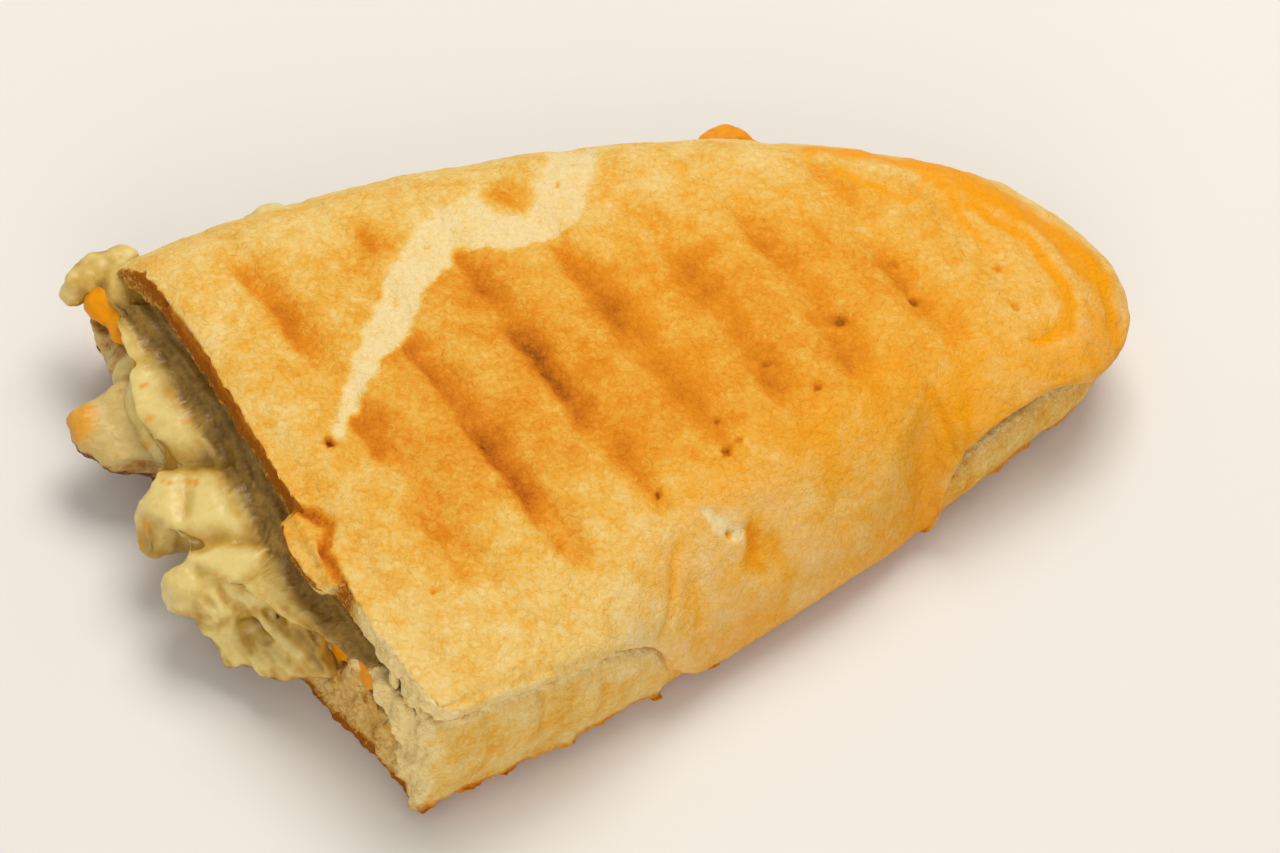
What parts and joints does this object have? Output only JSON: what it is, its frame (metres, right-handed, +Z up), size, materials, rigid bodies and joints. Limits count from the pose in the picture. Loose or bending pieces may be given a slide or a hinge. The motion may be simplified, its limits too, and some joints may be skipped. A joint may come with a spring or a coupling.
{
  "type": "toasted chicken sandwich half",
  "caption": "Half of a pressed, grilled long roll lying flat, filled with chicken and melted white and orange cheese that bulge from the cut.",
  "frame": {"origin": "middle of the footprint, on the surface it rests on", "axes": "+X from the cut face to the closed tip, +Y towards the open side of the roll, +Z up"},
  "size_m": [0.1638, 0.1022, 0.03],
  "materials": {
    "toasted_base": "toasted bread crust with torn crumb at the cut, matte",
    "cooked_chicken": "cooked chicken meat, moist, satin",
    "melted_cheddar": "melted orange cheese, soft gloss",
    "melted_white_cheese": "melted white cheese, soft gloss",
    "toasted_lid": "golden grilled bread crust with browned grill marks, matte"
  },
  "bodies": {
    "root": {"bread_bottom": "toasted_base", "chicken": "cooked_chicken", "cheddar": "melted_cheddar", "white_cheese": "melted_white_cheese", "bread_top": "toasted_lid"}
  },
  "joints": []
}
